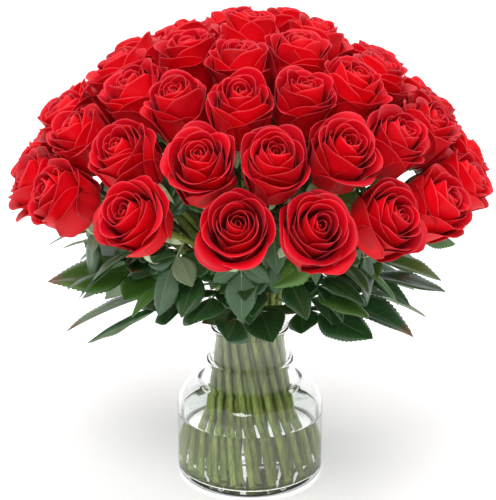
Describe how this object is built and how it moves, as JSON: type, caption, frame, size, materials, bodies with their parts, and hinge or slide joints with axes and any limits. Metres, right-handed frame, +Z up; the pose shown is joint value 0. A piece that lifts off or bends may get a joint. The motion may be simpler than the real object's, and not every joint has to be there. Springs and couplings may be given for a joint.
{
  "type": "roses in a vase",
  "caption": "Dense dome of cut red roses in a spiral-laid bouquet, with leaves at its waist, standing in a clear glass bottle vase partly filled with water.",
  "frame": {"origin": "centre of the vase's flat foot, on the surface it stands on", "axes": "+Z up through the vase's axis, -Y towards the front of the bouquet, +X to its right"},
  "size_m": [0.4407, 0.4423, 0.4506],
  "materials": {
    "petal": "velvety red",
    "stem": "smooth green",
    "leaf": "glossy dark green",
    "glass": "clear, polished",
    "water": "clear water"
  },
  "bodies": {
    "root": {"rose_01": "petal", "rose_02": "petal", "rose_03": "petal", "rose_04": "petal", "rose_05": "petal", "rose_06": "petal", "rose_07": "petal", "rose_08": "petal", "rose_09": "petal", "rose_10": "petal", "rose_11": "petal", "rose_12": "petal", "rose_13": "petal", "rose_14": "petal", "rose_15": "petal", "rose_16": "petal", "rose_17": "petal", "rose_18": "petal", "rose_19": "petal", "rose_20": "petal", "rose_21": "petal", "rose_22": "petal", "rose_23": "petal", "rose_24": "petal", "rose_25": "petal", "rose_26": "petal", "rose_27": "petal", "rose_28": "petal", "rose_29": "petal", "rose_30": "petal", "rose_31": "petal", "rose_32": "petal", "rose_33": "petal", "rose_34": "petal", "rose_35": "petal", "rose_36": "petal", "rose_37": "petal", "rose_38": "petal", "rose_39": "petal", "rose_40": "petal", "rose_41": "petal", "rose_42": "petal", "rose_43": "petal", "rose_44": "petal", "rose_45": "petal", "rose_46": "petal", "rose_47": "petal", "rose_48": "petal", "rose_49": "petal", "rose_50": "petal", "rose_51": "petal", "rose_52": "petal", "rose_53": "petal", "rose_54": "petal", "rose_55": "petal", "rose_56": "petal", "rose_57": "petal", "vase": "glass", "water": "water"}
  },
  "joints": []
}
